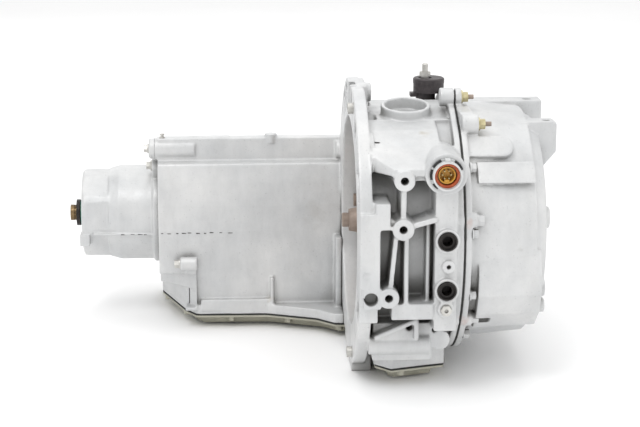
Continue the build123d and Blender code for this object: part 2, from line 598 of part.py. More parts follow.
def build_pan():
    """Pressed steel oil pan, its gasket and bolts, and the filter above it."""
    top = RAIL_Z - GASKET_T
    with BuildPart() as pan_gasket:
        with BuildSketch(Plane.XY.offset(top)) as band:
            add(pan_outline(0))
            add(pan_outline(14), mode=Mode.SUBTRACT)
        extrude(band.sketch, amount=GASKET_T)
        for x, y in PAN_BOLTS:
            z_rod(top - 1, RAIL_Z + 1, x, y, 3.2, mode=Mode.SUBTRACT)
    keep(pan_gasket.part, "pan_gasket")

    with BuildPart() as oil_pan:
        with BuildSketch(Plane.XY.offset(top - PAN_FLANGE_T)) as rim:
            add(pan_outline(0))
        extrude(rim.sketch, amount=PAN_FLANGE_T)
        with BuildSketch(Plane.XY.offset(top - PAN_FLANGE_T)) as tub:
            add(pan_outline(13))
        extrude(tub.sketch, amount=-(PAN_DEPTH - PAN_FLANGE_T), taper=20)
        with BuildSketch(Plane.XY.offset(top)) as hollow:
            add(pan_outline(15))
        extrude(hollow.sketch, amount=-(PAN_DEPTH - 2), taper=20, mode=Mode.SUBTRACT)
        for x, y in PAN_BOLTS:
            z_rod(top - 5, top + 1, x, y, 3.2, mode=Mode.SUBTRACT)
    keep(oil_pan.part, "oil_pan")

    seat = top - PAN_FLANGE_T
    with BuildPart() as pan_bolts:
        for x, y in PAN_BOLTS:
            z_rod(seat - 1.5, seat, x, y, 5.8)
            with BuildSketch(Plane.XY.offset(seat - 1.5)) as head:
                with Locations((x, y)):
                    RegularPolygon(4.5, 6, major_radius=False)
            extrude(head.sketch, amount=-4.5)
            z_rod(seat, RAIL_Z + 8, x, y, 3)
    keep(pan_bolts.part, "pan_bolts")

    with BuildPart() as oil_filter:
        with BuildSketch(Plane.XY.offset(RAIL_Z + 2)) as body:
            with Locations((-60, 236)):
                RectangleRounded(150, 110, 14)
        extrude(body.sketch, amount=20)
        z_rod(RAIL_Z + 20, RAIL_Z + 42, -50, 236, 14)
        z_rod(RAIL_Z + 28, RAIL_Z + 43, -50, 236, 11, mode=Mode.SUBTRACT)
    keep(oil_filter.part, "oil_filter")


# ---------------------------------------------------------------- bolts, studs and small outside pieces
def hex_bolt(seat_x, head_x, shank_x, y, z, across_flats, shank_r, washer_r):
    """Flanged hex bolt along X, head towards head_x and shank towards shank_x."""
    step = 2.0 if head_x > seat_x else -2.0
    x_rod(seat_x, seat_x + step, y, z, washer_r)
    hexagon_x(seat_x + step, head_x, y, z, across_flats)
    x_rod(seat_x, shank_x, y, z, shank_r)


def build_fasteners():
    """Cover bolts, large front bolts, studs with nuts, extension bolts and case bolts."""
    seat = JOINT_X + GASKET_T + COVER_FLANGE_T
    with BuildPart() as cover_bolts:
        for y, z in COVER_BOLTS:
            hex_bolt(seat, seat + 8, JOINT_X - 8, y, z, 10, 3.9, 7)
        for y, z in COVER_LUGS:
            hex_bolt(147, 156, 136, y, z, 13, 3.9, 8)
    keep(cover_bolts.part, "cover_bolts")

    with BuildPart() as cover_studs:
        for root_x, _, end_x, y, z in COVER_STUDS:
            x_rod(root_x, end_x, y, z, 3)
    keep(cover_studs.part, "cover_studs")

    with BuildPart() as stud_nuts:
        for _, seat_x, _, y, z in COVER_STUDS:
            x_rod(seat_x, seat_x + 2, y, z, 8.5)
            hexagon_x(seat_x + 2, seat_x + 9, y, z, 12)
            x_rod(seat_x - 1, seat_x + 10, y, z, 3, mode=Mode.SUBTRACT)
    keep(stud_nuts.part, "stud_nuts")

    with BuildPart() as case_bolts:
        for y, z in EXTENSION_BOLTS:
            hex_bolt(GEAR_END_X - 9, GEAR_END_X - 17, GEAR_END_X + 8, y, z, 10, 3.5, 7.5)
        hex_bolt(-228, -236, -213, *CASE_BOLT, 10, 3.9, 6.5)
        hex_bolt(-270, -277, -247, *SERVO, 10, 3.9, 6.5)
    keep(case_bolts.part, "case_bolts")

    with BuildPart() as servo_cover:
        x_rod(-270, -262, *SERVO, 14.5)
        x_rod(-271, -261, *SERVO, 4, mode=Mode.SUBTRACT)
        edges = servo_cover.edges().filter_by(GeomType.CIRCLE).sort_by(Axis.X)[:2]
        chamfer(edges.sort_by(SortBy.RADIUS)[-1], 2)
    keep(servo_cover.part, "servo_cover")

    with BuildPart() as case_vent:
        z_rod(DECK_Z, DECK_Z + 1.5, *VENT, 4)
        z_rod(DECK_Z + 1.5, DECK_Z + 4.5, *VENT, 2.2)
        z_rod(DECK_Z + 4.5, DECK_Z + 6, *VENT, 3.4)
    keep(case_vent.part, "case_vent")

    with BuildPart() as engine_dowels:
        for angle in DOWEL_ANGLES:
            y, z = around_x(BOLT_CIRCLE_R, angle)
            x_rod(-7, 10, y, z, DOWEL_R)
            x_rod(-8, 11, y, z, DOWEL_R - 2, mode=Mode.SUBTRACT)
    keep(engine_dowels.part, "engine_dowels")


def build_ports():
    """Cooler fittings, pressure plug and the electrical connector."""
    with BuildPart() as cooler_fittings:
        for x, z in COOLER_PORTS:
            y_rod(FRONT_Y + 1, FRONT_Y + 26, x, z, 11.5)
            y_rod(FRONT_Y, FRONT_Y + 5, x, z, 10, mode=Mode.SUBTRACT)
            y_rod(FRONT_Y - 2, FRONT_Y + 22, x, z, 6.5, mode=Mode.SUBTRACT)
    keep(cooler_fittings.part, "cooler_fittings")

    x, z = PRESSURE_PLUG
    with BuildPart() as pressure_plug:
        y_rod(FRONT_Y + 2, FRONT_Y + 14, x, z, 5)
        with BuildSketch(Plane.XZ.offset(-FRONT_Y - 2)) as head:
            with Locations((x, z)):
                RegularPolygon(6.2, 6, major_radius=False)
        extrude(head.sketch, amount=5)
        y_rod(FRONT_Y - 4, FRONT_Y, x, z, 2.6, mode=Mode.SUBTRACT)
    keep(pressure_plug.part, "pressure_plug")

    x, z = CONNECTOR
    with BuildPart() as connector_shell:
        y_rod(FRONT_Y - 12, -149, x, z, 18)
        y_rod(FRONT_Y - 3, FRONT_Y, x, z, 20.5)
        y_rod(FRONT_Y - 13, FRONT_Y - 7, x, z, 16, mode=Mode.SUBTRACT)
        y_rod(FRONT_Y - 8, -160, x, z, 15.5, mode=Mode.SUBTRACT)
        block((x - 3, x + 3), (FRONT_Y - 10, FRONT_Y), (z + 17, z + 21))
    keep(connector_shell.part, "connector_shell")
    with BuildPart() as connector_seal:
        y_rod(FRONT_Y - 6, FRONT_Y + 2, x, z, 15.5)
        y_rod(FRONT_Y - 7, FRONT_Y + 3, x, z, 12.2, mode=Mode.SUBTRACT)
    keep(connector_seal.part, "connector_seal")
    with BuildPart() as connector_insert:
        y_rod(FRONT_Y + 2, -160, x, z, 15.5)
        y_rod(FRONT_Y - 3, FRONT_Y + 2, x, z, 10.5)
        y_rod(FRONT_Y - 4, FRONT_Y + 8, x, z, 9, mode=Mode.SUBTRACT)
        block((x - 3, x + 3), (FRONT_Y - 2, FRONT_Y + 9), (z - 9, z - 6))
    keep(connector_insert.part, "connector_insert")


# ---------------------------------------------------------------- selector shaft, range switch and manual valve
def build_selector():
    """Selector shaft with its detent lever, range switch, detent spring and manual valve."""
    x, y = SELECTOR_X, SELECTOR_Y
    with BuildPart() as selector_shaft:
        z_rod(LEVER_Z - 6, SWITCH_TOP_Z + 4, x, y, 5)
        z_rod(SWITCH_TOP_Z + 4, SELECTOR_TOP_Z, x, y, 4)
        with BuildSketch(Plane.XY.offset(SWITCH_TOP_Z + 2)) as hexagon:
            with Locations((x, y)):
                RegularPolygon(6.5, 6, major_radius=False)
        extrude(hexagon.sketch, amount=6)
        chamfer(selector_shaft.edges().filter_by(GeomType.CIRCLE).sort_by(Axis.Z)[-1], 1.2)
    keep(selector_shaft.part, "selector_shaft")

    with BuildPart() as detent_lever:
        with BuildSketch(Plane.XY.offset(LEVER_Z)) as plate:
            with Locations((x, y)):
                Circle(12)
            with BuildLine():
                Line((x, y), (x + 40 * cos(radians(34)), y - 40 * sin(radians(34))))
                CenterArc((x, y), 40, -34, 68)
                Line((x, y), (x + 40 * cos(radians(34)), y + 40 * sin(radians(34))))
            make_face()
            with Locations((x, y)):
                Circle(5, mode=Mode.SUBTRACT)
        extrude(plate.sketch, amount=4)
        z_rod(VALVE_Z + 4, LEVER_Z, x + LEVER_REACH, y, 2.5)
    keep(detent_lever.part, "detent_lever")

    with BuildPart() as manual_valve:
        valve_x = x + LEVER_REACH
        with BuildSketch(Plane.XY.offset(VALVE_Z)) as profile:
            with BuildLine():
                Polyline((valve_x, y - 84), (valve_x + VALVE_R, y - 84), (valve_x + VALVE_R, y - 68), (valve_x + 4, y - 68),
                         (valve_x + 4, y - 56), (valve_x + VALVE_R, y - 56), (valve_x + VALVE_R, y - 4),
                         (valve_x + 3, y - 4), (valve_x + 3, y + 4), (valve_x + VALVE_R, y + 4),
                         (valve_x + VALVE_R, y + 12), (valve_x, y + 12), close=True)
            make_face()
        revolve(profile.sketch, axis=Axis((valve_x, 0, VALVE_Z), (0, 1, 0)))
    keep(manual_valve.part, "manual_valve")

    with BuildPart() as manual_valve_housing:
        block((CHAIN_X, 150), (y - 102, y - 48), (VALVE_Z - 13, VALVE_Z + 10))
        y_rod(y - 103, y - 47, valve_x, VALVE_Z, VALVE_R + RUNNING, mode=Mode.SUBTRACT)
    keep(manual_valve_housing.part, "manual_valve_housing")

    seat, lid = SWITCH_SEAT_Z, SWITCH_TOP_Z - 7
    with BuildPart() as switch_body:
        z_rod(seat, SWITCH_DRUM_Z, x + 1, y, 13)
        z_rod(SWITCH_DRUM_Z, lid, SWITCH_X, y, SWITCH_R)
        block((x - 20, x - 8), (y - 7, y + 7), (seat + 5, seat + 10))
        z_rod(seat - 1, lid + 1, x, y, 9, mode=Mode.SUBTRACT)
    keep(switch_body.part, "range_switch_body")

    with BuildPart() as switch_cap:
        with BuildSketch(Plane.XY.offset(lid)) as cap:
            with Locations((SWITCH_X, y)):
                Circle(SWITCH_R + 0.5)
        extrude(cap.sketch, amount=7)
        chamfer(switch_cap.edges().filter_by(GeomType.CIRCLE).sort_by(Axis.Z)[-1], 1.5)
        z_rod(lid - 1, lid + 8, x, y, 9, mode=Mode.SUBTRACT)
    keep(switch_cap.part, "range_switch_cap")

    with BuildPart() as switch_rotor:
        z_rod(seat + 1, lid + 6, x, y, 8.5)
        z_rod(seat, lid + 7, x, y, 5, mode=Mode.SUBTRACT)
    keep(switch_rotor.part, "range_switch_rotor")

    with BuildPart() as detent_spring:
        z_rod(LEVER_Z - 2, LEVER_Z + 6, x + 43.5, y, 3)
        block((x + 46, x + 48), (y - 44, y + 4), (LEVER_Z - 2, LEVER_Z + 6))
        block((x + 48, 168), (y - 44, y - 34), (LEVER_Z - 2, LEVER_Z + 6))
    keep(detent_spring.part, "detent_spring")


# ---------------------------------------------------------------- torque converter and input shaft
def build_converter():
    """Torque converter shell with its pilot, lugs and hub."""
    front, back = CONVERTER_X
    with BuildPart() as torque_converter:
        with BuildSketch(Plane.XY) as profile:
            with BuildLine():
                Polyline((PILOT_X, 0), (PILOT_X, PILOT_R - 1), (PILOT_X + 1, PILOT_R), (PILOT_X + 9, PILOT_R),
                         (PILOT_X + 9, PILOT_R + 5), (front + 2, PILOT_R + 9), (front + 2, 60), (front, 66),
                         (front, 98), (front + 5, CONVERTER_R - 6), (front + 12, CONVERTER_R),
                         (front + 32, CONVERTER_R), (back - 22, CONVERTER_R - 9), (back - 8, CONVERTER_R - 26),
                         (back, 84), (back, 44), (back - 12, 24), (back - 12, 20.5), (WEB_X + 6, 20.5),
                         (WEB_X + 6, 18), (front + 4, 18), (front + 4, 0), close=True)
            make_face()
        revolve(profile.sketch, axis=Axis.X)
        for angle in (0, 120, 240):
            lug_y, lug_z = around_x(112, angle)
            x_rod(front - 3, front + 8, lug_y, lug_z, 9)
    keep(torque_converter.part, "torque_converter")


def build_input():
    """Stator support, turbine shaft, sprockets, chain and pump."""
    with BuildPart() as stator_support:
        x_rod(WEB_X, CHAIN_X, 0, 0, 26)
        x_rod(CHAIN_X, CHAIN_X + 6, 0, 0, 40)
        x_rod(CHAIN_X, 128, 0, 0, 24)
        x_rod(WEB_X - 1, WEB_X + 8, 0, 0, 23.5, mode=Mode.SUBTRACT)
        x_rod(60, CHAIN_X, 0, 0, 16.5)
        x_rod(59, 129, 0, 0, SHAFT_R + 0.5, mode=Mode.SUBTRACT)
    keep(stator_support.part, "stator_support")

    with BuildPart() as turbine_shaft:
        x_rod(26, 196, 0, 0, SHAFT_R)
        chamfer(turbine_shaft.edges().filter_by(GeomType.CIRCLE), 1)
    keep(turbine_shaft.part, "turbine_shaft")

    start, end = SPROCKET_X
    pitch_r = SPROCKET_TEETH * CHAIN_PITCH / (2 * pi)
    teeth = tooth_ring(SPROCKET_TEETH, pitch_r - 4, pitch_r + 2, 0.34, 0.14)
    with BuildPart() as drive_sprocket:
        toothed_disc(start, end, 0, 0, teeth)
        x_rod(start - 6, start, 0, 0, 26)
        x_rod(start - 7, end + 1, 0, 0, SHAFT_R, mode=Mode.SUBTRACT)
    keep(drive_sprocket.part, "drive_sprocket")
    with BuildPart() as driven_sprocket:
        toothed_disc(start, end, GEAR_Y, GEAR_Z, teeth)
        x_rod(96, start, GEAR_Y, GEAR_Z, 30)
        x_rod(95, end + 1, GEAR_Y, GEAR_Z, 19, mode=Mode.SUBTRACT)
    keep(driven_sprocket.part, "driven_sprocket")

    with BuildPart() as drive_chain:
        for radius, mode in ((pitch_r + 9, Mode.ADD), (pitch_r + 2.8, Mode.SUBTRACT)):
            with BuildSketch(Plane.YZ.offset(start + 1)) as loop:
                with BuildLine():
                    CenterArc((0, 0), radius, 0, 360)
                    CenterArc((GEAR_Y, GEAR_Z), radius, 0, 360)
                make_hull()
            extrude(loop.sketch, amount=end - start - 2, mode=mode)
    keep(drive_chain.part, "drive_chain")

    with BuildPart() as oil_pump:
        x_rod(178, 206, 0, 0, 72)
        block((178, 202), (-84, 84), (-30, 30))
        x_rod(177, 207, 0, 0, SHAFT_R + RUNNING, mode=Mode.SUBTRACT)
    keep(oil_pump.part, "oil_pump")

    with BuildPart() as channel_plate:
        joint_prism(168, 176, -26)
        for y, z in CHANNEL_POSTS:
            x_rod(CHAIN_X, 168, y, z, 8)
        x_rod(167, 178, 0, 0, SHAFT_R + 3, mode=Mode.SUBTRACT)
        x_rod(167, 178, GEAR_Y, GEAR_Z, 26, mode=Mode.SUBTRACT)
    keep(channel_plate.part, "channel_plate")

    with BuildPart() as valve_body:
        block((176.2, 210), (96, 190), (-60, 62))
        block((176.2, 196), (104, 180), (-84, -60))
        for z in range(-44, 56, 18):
            y_rod(95, 120, 198, z, 5, mode=Mode.SUBTRACT)
    keep(valve_body.part, "valve_body")


# ---------------------------------------------------------------- gear train, final drive and differential
def build_gear_train():
    """Clutch drum, sun shaft, parking gear, final drive planetary set and differential."""
    sun_r, planet_r, ring_r = (MODULE * count / 2 for count in (SUN_TEETH, PLANET_TEETH, RING_TEETH))
    start, end = PLANET_X
    centres = [around_x(sun_r + planet_r, 90 + 360 / PLANETS * index, GEAR_Y, GEAR_Z) for index in range(PLANETS)]

    with BuildPart() as clutch_drum:
        x_rod(-70, 84, GEAR_Y, GEAR_Z, 80)
        for offset_x in range(-56, 80, 18):
            x_rod(offset_x, offset_x + 3, GEAR_Y, GEAR_Z, 81)
        x_rod(-62, 85, GEAR_Y, GEAR_Z, 72, mode=Mode.SUBTRACT)
        x_rod(76, 84, GEAR_Y, GEAR_Z, 72)
        x_rod(-71, 85, GEAR_Y, GEAR_Z, 19, mode=Mode.SUBTRACT)
    keep(clutch_drum.part, "clutch_drum")

    with BuildPart() as sun_shaft:
        x_rod(end, 160, GEAR_Y, GEAR_Z, 19)
        toothed_disc(start, end, GEAR_Y, GEAR_Z, tooth_ring(SUN_TEETH, sun_r - 1.2 * MODULE, sun_r + 0.85 * MODULE,
                                                            0.33, 0.12))
        x_rod(start - 1, 161, GEAR_Y, GEAR_Z, SHAFT_R + 0.6, mode=Mode.SUBTRACT)
    keep(sun_shaft.part, "sun_shaft")

    with BuildPart() as parking_gear:
        toothed_disc(-104, -92, GEAR_Y, GEAR_Z, tooth_ring(PARK_TEETH, 52, 62, 0.26, 0.2))
        x_rod(-105, -91, GEAR_Y, GEAR_Z, 19, mode=Mode.SUBTRACT)
    keep(parking_gear.part, "parking_gear")

    for index, (y, z) in enumerate(centres, start=1):
        with BuildPart() as planet:
            toothed_disc(start, end, y, z, tooth_ring(PLANET_TEETH, planet_r - 1.2 * MODULE,
                                                      planet_r + 0.85 * MODULE, 0.33, 0.12), spin=7.5)
            x_rod(start - 1, end + 1, y, z, 7 + RUNNING, mode=Mode.SUBTRACT)
        keep(planet.part, f"planet_gear_{index}")

    with BuildPart() as ring_gear:
        x_rod(start - 4, end + 4, GEAR_Y, GEAR_Z, GEAR_BORE_R - 0.5)
        with BuildSketch(Plane.YZ.offset(start - 5)) as teeth:
            with Locations(Location((GEAR_Y, GEAR_Z), 180 / RING_TEETH)):
                Polygon(*tooth_ring(RING_TEETH, ring_r - 0.85 * MODULE, ring_r + 1.2 * MODULE, 0.38, 0.17),
                        align=None)
        extrude(teeth.sketch, amount=end - start + 10, mode=Mode.SUBTRACT)
    keep(ring_gear.part, "ring_gear")

    with BuildPart() as differential_case:
        x_rod(-244, start - 8, GEAR_Y, GEAR_Z, 62)
        x_rod(start - 8, start - 1, GEAR_Y, GEAR_Z, 66)
        x_rod(-257, -244, GEAR_Y, GEAR_Z, 26)
        for y, z in centres:
            x_rod(start - 1, end + 1, y, z, 7)
        x_rod(end + 1, end + 7, GEAR_Y, GEAR_Z, 66)
        x_rod(end, end + 8, GEAR_Y, GEAR_Z, 23, mode=Mode.SUBTRACT)
        x_rod(-236, start - 14, GEAR_Y, GEAR_Z, 52, mode=Mode.SUBTRACT)
        x_rod(-258, start, GEAR_Y, GEAR_Z, SHAFT_R + 0.6, mode=Mode.SUBTRACT)
        for angle in (30, 150, 270):
            y, z = around_x(56, angle, GEAR_Y, GEAR_Z)
            x_rod(start - 8, end + 7, y, z, 8)
        z_rod(GEAR_Z - 63, GEAR_Z + 63, DIFF_X, GEAR_Y, 8, mode=Mode.SUBTRACT)
        block((-222, -178), (GEAR_Y - 70, GEAR_Y + 70), (GEAR_Z - 22, GEAR_Z + 22), mode=Mode.SUBTRACT)
    keep(differential_case.part, "differential_case")

    with BuildPart() as cross_pin:
        z_rod(GEAR_Z - 61, GEAR_Z + 61, DIFF_X, GEAR_Y, 8)
    keep(cross_pin.part, "cross_pin")

    for name, side in (("left_side_gear", -1), ("right_side_gear", 1)):
        with BuildPart() as side_gear:
            with BuildSketch(Plane.XY) as cone:
                with BuildLine():
                    Polyline((DIFF_X + side * 35, SHAFT_R), (DIFF_X + side * 35, 20), (DIFF_X + side * 28, 33),
                             (DIFF_X + side * 20, 24), (DIFF_X + side * 17, SHAFT_R), close=True)
                make_face()
            revolve(cone.sketch, axis=Axis.X)
        keep(Pos(0, GEAR_Y, GEAR_Z) * side_gear.part, name)

    for name, side in (("upper_pinion", 1), ("lower_pinion", -1)):
        with BuildPart() as pinion:
            with BuildSketch(Plane.XZ) as cone:
                with BuildLine():
                    Polyline((8 + RUNNING, side * 22), (15, side * 22), (24, side * 33), (18, side * 42),
                             (8 + RUNNING, side * 42), close=True)
                make_face()
            revolve(cone.sketch, axis=Axis.Z)
        keep(Pos(DIFF_X, GEAR_Y, GEAR_Z) * pinion.part, name)

    with BuildPart() as left_output_shaft:
        x_rod(-380, DIFF_X - 17, GEAR_Y, GEAR_Z, SHAFT_R)
        x_rod(OUTPUT_TIP_X, OUTPUT_TIP_X + 5, GEAR_Y, GEAR_Z, OUTPUT_R)
        splines = tooth_ring(24, OUTPUT_R - 1.4, OUTPUT_R - 0.4, 0.3, 0.15)
        toothed_disc(OUTPUT_TIP_X + 5, -380, GEAR_Y, GEAR_Z, splines)
    keep(left_output_shaft.part, "left_output_shaft")

    with BuildPart() as right_output_shaft:
        x_rod(DIFF_X + 17, COVER_X + 9, GEAR_Y, GEAR_Z, SHAFT_R)
        x_rod(COVER_X + 9, RIGHT_TIP_X, GEAR_Y, GEAR_Z, RIGHT_STUB_R)
    keep(right_output_shaft.part, "right_output_shaft")


def build_seals_and_bearings():
    """Output seals, slinger and bearings."""
    ring_x("left_output_seal", EXT_TIP_X - 4, EXT_TIP_X + 8, 20, SHAFT_R + RUNNING)
    ring_x("slinger_ring", -379, -374, 19, SHAFT_R)
    build_bearing("left_output_bearing", EXT_TIP_X + 13, EXT_TIP_X + 31, 30, SHAFT_R + RUNNING)
    build_bearing("differential_bearing", GEAR_END_X, GEAR_END_X + 12, 54, 26 + RUNNING)
    ring_x("right_output_seal", COVER_X - 2, COVER_X + 8, 24, SHAFT_R + RUNNING)


def build_park_pawl():
    """Park pawl on its pivot pin, below the parking gear."""
    y, z = PAWL_PIVOT
    with BuildPart() as park_pawl:
        with BuildSketch(Plane.YZ.offset(-103)) as outline:
            with BuildLine():
                Polyline((y, z + 8), (y + 52, z + 5), (y + 56, z + 14), (y + 64, z + 14), (y + 67, z + 5),
                         (y + 67, z - 6), (y, z - 9), close=True)
            make_face()
            with Locations((y, z)):
                Circle(10)
                Circle(4 + RUNNING, mode=Mode.SUBTRACT)
        extrude(outline.sketch, amount=10)
    keep(park_pawl.part, "park_pawl")
    with BuildPart() as pawl_pin:
        x_rod(-113, -92, y, z, 4)
    keep(pawl_pin.part, "pawl_pin")


def main():
    """Build and write every piece."""
    build_converter_housing()
    build_gear_case()
    build_extension_housing()
    build_side_cover()
    build_side_gasket()
    build_pan()
    build_fasteners()
    build_ports()
    build_selector()
    build_converter()
    build_input()
    build_gear_train()
    build_seals_and_bearings()
    build_park_pawl()


main()
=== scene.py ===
import json
import math
import random

import bmesh
import bpy
from mathutils import Matrix, Vector


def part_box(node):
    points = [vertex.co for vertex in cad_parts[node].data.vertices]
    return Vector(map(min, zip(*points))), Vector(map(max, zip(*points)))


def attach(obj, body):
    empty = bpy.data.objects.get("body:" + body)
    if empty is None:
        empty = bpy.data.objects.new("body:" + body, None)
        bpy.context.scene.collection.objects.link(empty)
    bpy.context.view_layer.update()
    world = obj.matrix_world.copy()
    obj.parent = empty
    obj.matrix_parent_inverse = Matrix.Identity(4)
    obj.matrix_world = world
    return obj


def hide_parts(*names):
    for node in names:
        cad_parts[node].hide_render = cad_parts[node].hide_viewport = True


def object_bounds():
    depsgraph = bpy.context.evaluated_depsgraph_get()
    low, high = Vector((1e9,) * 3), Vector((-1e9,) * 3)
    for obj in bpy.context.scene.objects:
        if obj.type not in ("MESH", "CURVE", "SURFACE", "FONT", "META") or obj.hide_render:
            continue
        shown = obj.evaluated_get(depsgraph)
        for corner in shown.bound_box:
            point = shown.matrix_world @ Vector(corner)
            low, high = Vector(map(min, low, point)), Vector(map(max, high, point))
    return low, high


# Automatic transaxle.  The frame is in metres; shapes made here are written in millimetres and scaled by MM.
# Castings are remeshed from their CAD nodes, every other node keeps its CAD mesh and gets a material.

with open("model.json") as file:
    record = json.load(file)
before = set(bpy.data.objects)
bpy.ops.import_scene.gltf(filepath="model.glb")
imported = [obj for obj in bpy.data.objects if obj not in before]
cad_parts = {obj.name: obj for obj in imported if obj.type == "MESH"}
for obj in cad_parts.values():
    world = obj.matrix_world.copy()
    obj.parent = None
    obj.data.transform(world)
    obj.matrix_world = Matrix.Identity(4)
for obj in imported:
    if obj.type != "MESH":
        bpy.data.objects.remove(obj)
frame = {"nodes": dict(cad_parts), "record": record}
cad_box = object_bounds()
NODES = frame["nodes"]
MM = 0.001

CAST_VOXEL = 1.4                         # mm, grid that a casting is remeshed on
NOSE_VOXEL = 1.2                         # the same for the small extension housing
CAST_ROUNDS = 5                          # smoothing steps, which set the size of the fillets
CAST_FACES = 190000                      # most triangles in one casting
WELD = 1e-6                              # m, corners nearer than this are one
SHARP = math.radians(35)                 # edges of small pieces that turn more than this stay sharp


# ---------------------------------------------------------------- camera, light and floor
def look(obj, target):
    """Turn a camera or lamp towards a point."""
    direction = Vector(target) - obj.location
    obj.rotation_euler = direction.to_track_quat("-Z", "Y").to_euler()


AZIMUTH, ELEVATION, DISTANCE = math.radians(-3.3), math.radians(14), 2.3
TARGET = Vector((-0.036, 0.040, -0.001))
FIELD_WIDTH = 0.864                      # metres across the picture at the target
SENSOR = 36
camera = bpy.data.objects.new("camera", bpy.data.cameras.new("camera"))
bpy.context.scene.collection.objects.link(camera)
level = DISTANCE * math.cos(ELEVATION)
camera.location = TARGET + Vector((level * math.sin(AZIMUTH), -level * math.cos(AZIMUTH),
                                   DISTANCE * math.sin(ELEVATION)))
look(camera, TARGET)
camera.data.sensor_width = SENSOR
camera.data.lens = SENSOR * DISTANCE / FIELD_WIDTH
camera.data.clip_end = 40
bpy.context.scene.camera = camera
bpy.context.scene.view_settings.view_transform = "Standard"


def area_light(name, place, size, power, target=(0, 0, 0)):
    """Soft square lamp of that size (m) and power (W)."""
    lamp = bpy.data.objects.new(name, bpy.data.lights.new(name, "AREA"))
    bpy.context.scene.collection.objects.link(lamp)
    lamp.location = place
    look(lamp, target)
    lamp.data.shape = "SQUARE"
    lamp.data.size = size
    lamp.data.energy = power


area_light("key", (-1.0, -1.6, 2.8), 1.2, 30)
area_light("fill_right", (2.6, -1.4, 1.4), 1.6, 9)
area_light("top", (0.2, 0.6, 3.0), 2.4, 20, (0, 0.1, 0))
area_light("rear", (-0.5, 2.8, 1.6), 2.0, 8)

world = bpy.data.worlds.new("studio")
bpy.context.scene.world = world
world.use_nodes = True
backdrop = world.node_tree.nodes["Background"]
backdrop.inputs["Color"].default_value = (1, 1, 1, 1)
backdrop.inputs["Strength"].default_value = 0.92


# ---------------------------------------------------------------- material building
class Shade:
    """Short names for the nodes of one material."""

    def __init__(self, name, roughness=0.5, metallic=0.0):
        self.material = bpy.data.materials.new(name)
        self.material.use_nodes = True
        self.tree = self.material.node_tree
        self.shader = self.tree.nodes["Principled BSDF"]
        self.shader.inputs["Roughness"].default_value = roughness
        self.shader.inputs["Metallic"].default_value = metallic
        self.place = self.tree.nodes.new("ShaderNodeTexCoord").outputs["Object"]

    def link(self, source, socket):
        """Wire one node's output to a socket."""
        self.tree.links.new(source, socket)

    def noise(self, scale, detail=4.0, rough=0.5, stretch=None):
        """Noise in the frame's own metres; stretch squeezes it along an axis."""
        node = self.tree.nodes.new("ShaderNodeTexNoise")
        node.inputs["Scale"].default_value = scale
        node.inputs["Detail"].default_value = detail
        node.inputs["Roughness"].default_value = rough
        if stretch:
            mapping = self.tree.nodes.new("ShaderNodeMapping")
            mapping.inputs["Scale"].default_value = stretch
            self.link(self.place, mapping.inputs["Vector"])
            self.link(mapping.outputs["Vector"], node.inputs["Vector"])
        else:
            self.link(self.place, node.inputs["Vector"])
        return node.outputs["Fac"]

    def ramp(self, source, *stops):
        """Colour ramp with (position, value or colour) stops."""
        node = self.tree.nodes.new("ShaderNodeValToRGB")
        elements = node.color_ramp.elements
        while len(elements) < len(stops):
            elements.new(0.5)
        for element, (position, value) in zip(elements, stops):
            element.position = position
            colour = (value, value, value) if isinstance(value, (int, float)) else value
            element.color = (*colour, 1)
        self.link(source, node.inputs["Fac"])
        return node.outputs["Color"]

    def mix(self, share, first, second, blend="MIX"):
        """Mix two colours; each is a socket or a colour, and the share a socket or a number."""
        node = self.tree.nodes.new("ShaderNodeMix")
        node.data_type = "RGBA"
        node.blend_type = blend
        if isinstance(share, (int, float)):
            node.inputs[0].default_value = share
        else:
            self.link(share, node.inputs[0])
        for socket, value in ((node.inputs[6], first), (node.inputs[7], second)):
            if isinstance(value, bpy.types.NodeSocket):
                self.link(value, socket)
            else:
                socket.default_value = (*value, 1)
        return node.outputs[2]

    def bump(self, height, strength, distance, previous=None):
        """Surface relief (distance in metres), on top of an earlier one."""
        node = self.tree.nodes.new("ShaderNodeBump")
        node.inputs["Strength"].default_value = strength
        node.inputs["Distance"].default_value = distance
        self.link(height, node.inputs["Height"])
        if previous is not None:
            self.link(previous, node.inputs["Normal"])
        return node.outputs["Normal"]

    def crevice(self, distance):
        """Ambient occlusion, dark in corners and recesses where shade falls; multiplied into a colour it
        paints shade.
        """
        node = self.tree.nodes.new("ShaderNodeAmbientOcclusion")
        node.inputs["Distance"].default_value = distance
        node.samples = 8
        return node.outputs["AO"]

    def finish(self, colour, roughness=None, normal=None):
        """Wire the shader's own inputs and return the material."""
        self.link(colour, self.shader.inputs["Base Color"])
        if roughness is not None:
            self.link(roughness, self.shader.inputs["Roughness"])
        if normal is not None:
            self.link(normal, self.shader.inputs["Normal"])
        return self.material


def stain(s, centre, radius):
    """Soft-edged mask around a point of the frame (mm), its outline broken up by noise."""
    distance = s.tree.nodes.new("ShaderNodeVectorMath")
    distance.operation = "DISTANCE"
    s.link(s.place, distance.inputs[0])
    distance.inputs[1].default_value = [value * MM for value in centre]
    spread = s.tree.nodes.new("ShaderNodeMath")
    spread.operation = "MULTIPLY_ADD"
    s.link(s.noise(110, 4), spread.inputs[0])
    spread.inputs[1].default_value = radius * MM * 1.4
    s.link(distance.outputs["Value"], spread.inputs[2])
    scaled = s.tree.nodes.new("ShaderNodeMath")
    scaled.operation = "DIVIDE"
    s.link(spread.outputs[0], scaled.inputs[0])
    scaled.inputs[1].default_value = radius * MM * 2.4
    return s.ramp(scaled.outputs[0], (0.3, 1.0), (0.51, 0.0))


